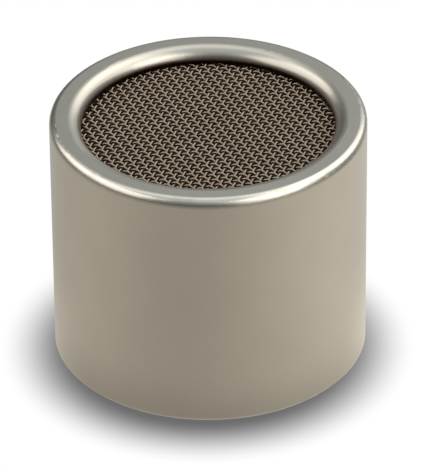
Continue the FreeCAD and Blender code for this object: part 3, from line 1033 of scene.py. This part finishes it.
@dataclass(frozen=True)
class Softbox:
    """A soft area light.

    Attributes:
        name: Its name.
        azimuth: Degrees round from the front, positive to the right.
        elevation: Degrees above the floor.
        distance: From the capsule.
        size: Width and height.
        power: Radiant power in watts.
        colour: Its tint.
    """

    name: str
    azimuth: float
    elevation: float
    distance: float
    size: tuple[float, float]
    power: float
    colour: Colour

    def hang(self, aim: Vector) -> None:
        """Hangs the light, turned to a point.

        Args:
            aim: The point that it faces.
        """
        turn, lift = math.radians(self.azimuth), math.radians(self.elevation)
        away = Vector((math.sin(turn) * math.cos(lift), -math.cos(turn) * math.cos(lift), math.sin(lift)))
        lamp = bpy.data.lights.new(self.name, "AREA")
        lamp.shape = "RECTANGLE"
        lamp.size, lamp.size_y = self.size
        lamp.energy = self.power
        lamp.color = self.colour
        holder = bpy.data.objects.new(self.name, lamp)
        holder.location = aim + away * self.distance
        holder.rotation_mode = "QUATERNION"
        holder.rotation_quaternion = away.to_track_quat("Z", "Y")
        holder.visible_camera = False
        bpy.context.collection.objects.link(holder)


@dataclass
class Studio:
    """Pale floor, soft surround and softboxes.

    Attributes:
        floor_radius: Radius of the floor.
        floor_white: Brightness of the open floor as the camera meets it.
        floor_tone: Mean brightness of the near floor as the metal mirrors it.
        floor_behind: The same behind the capsule.
        floor_far: Share of that brightness that is left far from the capsule.
        floor_near: Share of it that is lost close to the capsule, at its sides and behind it.
        near_reach: How far from the foot that loss reaches.
        near_span: Where that loss sets in, by the direction's share to the back.
        tone_span: Where the tone behind the capsule sets in, likewise.
        floor_swing: Share by which that brightness swings to the bright side.
        floor_cross: Share by which left and right are brighter than front and back.
        bright_side: Direction of the floor's bright side, in degrees round from the front.
        shadow_middle: Middle of the round contact shadow, off the axis to the front and left.
        shadow_span: Where the shadow starts to fade and where it ends, from the foot's radius.
        shadow_floor: Brightness left in the shadow's core.
        shadow_mirrored: Share of the contact shadow that the metal mirrors.
        horizon: Brightness of the surround at the horizon.
        zenith: Brightness of the surround straight above.
        rise_power: How late the surround's brightness grows with the sine of the elevation.
        front_dim: How much darker the surround's horizon is towards the front.
        left_dim: Share of the surround's brightness that is lost at the back's left side.
        right_gain: Share that it gains at the back's right side.
        surround_tint: Tint of the surround.
        left_span: Where that loss ends, by the direction's share to the right.
        right_span: Where that gain sets in, likewise.
        behind_span: Where both set in, by the direction's share to the back.
        floor_corners: Corners of the floor's rim.
        floor_gap: How far the floor lies under the capsule's foot.
        far_span: Distances over which the mirrored floor fades.
        aim_height: Height that the softboxes face.
        boxes: The softboxes.
    """

    floor_radius: float = 3.0
    floor_white: Colour = (1.0, 1.0, 1.0)
    floor_tone: Colour = (1.005, 0.945, 0.825)
    floor_behind: Colour = (0.94, 0.925, 0.85)
    floor_far: float = 0.35
    floor_near: float = 0.20
    near_reach: float = 30.0 * MM
    near_span: tuple[float, float] = (-0.2, 0.6)
    tone_span: tuple[float, float] = (0.2, 0.95)
    floor_swing: float = 0.19
    floor_cross: float = 0.19
    bright_side: float = 72.0
    shadow_middle: tuple[float, float, float] = (-0.2 * MM, -1.4 * MM, 0.0)
    shadow_span: tuple[float, float] = (-1.4 * MM, 3.5 * MM)
    shadow_floor: float = 0.15
    shadow_mirrored: float = 0.22
    horizon: float = 0.34
    zenith: float = 1.20
    rise_power: float = 1.5
    front_dim: float = 0.30
    left_dim: float = 0.62
    right_gain: float = 0.85
    surround_tint: Colour = (0.94, 1.0, 0.995)
    left_span: tuple[float, float] = (-0.30, -0.06)
    right_span: tuple[float, float] = (0.03, 0.24)
    behind_span: tuple[float, float] = (0.3, 0.7)
    floor_corners: int = 64
    floor_gap: float = 0.01 * MM
    far_span: tuple[float, float] = (40.0 * MM, 160.0 * MM)
    aim_height: float = 8.0 * MM
    boxes: tuple[Softbox, ...] = (
        Softbox("right_box", 95.0, 44.0, 0.5, (1.20, 0.52), 3.5, (1.0, 0.95, 0.86)),
        Softbox("front_right_box", 44.0, 25.0, 0.5, (0.40, 0.42), 0.95, (1.0, 0.97, 0.91)),
        Softbox("left_box", -88.0, 34.0, 0.5, (0.86, 0.40), 2.12, (1.0, 0.94, 0.86)),
        Softbox("top_box", 180.0, 66.0, 0.5, (1.10, 0.36), 1.0, (1.0, 0.98, 0.93)),
    )

    def build(self) -> None:
        """Sets up the whole studio."""
        bpy.context.scene.view_settings.view_transform = "Standard"
        self.lay_floor()
        self.hang_surround()
        for box in self.boxes:
            box.hang(Vector((0.0, 0.0, self.aim_height)))

    def lay_floor(self) -> None:
        """Lays a glowing, round floor under the capsule."""
        turns = [2.0 * math.pi * k / self.floor_corners for k in range(self.floor_corners)]
        rim = [
            (self.floor_radius * math.cos(turn), self.floor_radius * math.sin(turn), -self.floor_gap)
            for turn in turns
        ]
        mesh = bpy.data.meshes.new("floor")
        mesh.from_pydata(rim, [], [tuple(range(len(rim)))])
        floor = bpy.data.objects.new("floor", mesh)
        bpy.context.collection.objects.link(floor)
        mesh.materials.append(self.floor_material())

    def floor_material(self) -> bpy.types.Material:
        """Builds the floor's glow: white to the camera, and toned where the metal mirrors it.

        Returns:
            The material.
        """
        material = bpy.data.materials.new("pale_floor")
        material.use_nodes = True
        graph = Graph(material.node_tree)
        place = graph.get("ShaderNodeTexCoord", output="Object")
        low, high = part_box("outer_shell")
        foot = (high[0] - low[0]) / 2
        camera_ray = graph.get("ShaderNodeLightPath", output="Is Camera Ray")
        open_floor = graph.blend(camera_ray, self.mirrored_floor(graph, place, foot), self.floor_white)
        shade = self.contact_shadow(graph, place, foot)
        shade = shade * (self.shadow_mirrored + (1.0 - self.shadow_mirrored) * camera_ray)
        glow = graph.get("ShaderNodeEmission", inputs={"Color": graph.scaled(open_floor, 1.0 - shade)})
        graph.node("ShaderNodeOutputMaterial", inputs={"Surface": glow})
        return material

    def contact_shadow(self, graph: Graph, place: Value, foot: float) -> Value:
        """The share of light that the capsule keeps from the floor round its foot.

        Args:
            graph: The floor's tree.
            place: The floor's own coordinates.
            foot: Radius of the capsule's foot.

        Returns:
            The lost share, before the mirrored floor's part of it is taken.
        """
        from_middle = graph.vector("DISTANCE", place, self.shadow_middle, output="Value")
        open_share = graph.smooth(from_middle, foot + self.shadow_span[0], foot + self.shadow_span[1])
        return (1.0 - self.shadow_floor) * (1.0 - open_share)

    def mirrored_floor(self, graph: Graph, place: Value, foot: float) -> Value:
        """The open floor's colour as the metal mirrors it, by direction and distance.

        Args:
            graph: The floor's tree.
            place: The floor's own coordinates.
            foot: Radius of the capsule's foot.

        Returns:
            The colour.
        """
        side = math.radians(self.bright_side)
        bright_way = (math.sin(side), -math.cos(side), 0.0)
        towards = graph.vector("NORMALIZE", place)
        swing = graph.vector("DOT_PRODUCT", towards, bright_way, output="Value")
        depth = Value(graph, graph.node("ShaderNodeSeparateXYZ", inputs={0: towards}).outputs["Y"])
        level = 1.0 + self.floor_swing * swing + self.floor_cross * (1.0 - 2.0 * depth * depth)
        away = graph.vector("LENGTH", place, output="Value")
        level = level * (1.0 - (1.0 - self.floor_far) * graph.smooth(away, *self.far_span))
        near = 1.0 - graph.smooth(away, foot, foot + self.near_reach)
        level = level * (1.0 - self.floor_near * near * graph.smooth(depth, *self.near_span))
        tone = graph.blend(graph.smooth(depth, *self.tone_span), self.floor_tone, self.floor_behind)
        return graph.scaled(tone, level)

    def hang_surround(self) -> None:
        """Gives the world a light that grows with height, dim in front and brightest at the back right."""
        world = bpy.data.worlds.new("surround")
        bpy.context.scene.world = world
        world.use_nodes = True
        graph = Graph(world.node_tree)
        direction = graph.get("ShaderNodeTexCoord", output="Generated")
        way = graph.node("ShaderNodeSeparateXYZ", inputs={0: direction})
        rise = graph.math("MAXIMUM", Value(graph, way.outputs["Z"]), 0.0)
        front = graph.math("MAXIMUM", -1.0 * Value(graph, way.outputs["Y"]), 0.0)
        level = self.horizon + (self.zenith - self.horizon) * graph.math("POWER", rise, self.rise_power)
        level = level - self.front_dim * front * (1.0 - rise)
        behind = graph.smooth(Value(graph, way.outputs["Y"]), *self.behind_span)
        left = 1.0 - graph.smooth(Value(graph, way.outputs["X"]), *self.left_span)
        right = graph.smooth(Value(graph, way.outputs["X"]), *self.right_span)
        level = level * (1.0 + behind * (self.right_gain * right - self.left_dim * left))
        sky = graph.get("ShaderNodeBackground", inputs={"Color": rgba(self.surround_tint), "Strength": level})
        graph.node("ShaderNodeOutputWorld", inputs={"Surface": sky})


def main() -> None:
    """Builds every sub-assembly in order, then the camera and the studio."""
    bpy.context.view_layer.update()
    for assembly in (Shell(), Grille(), FrontStack(), Cartridge(), RearContact(), Camera(), Studio()):
        assembly.build()
        log.info("%s built", type(assembly).__name__)


if __name__ == "__main__":
    main()
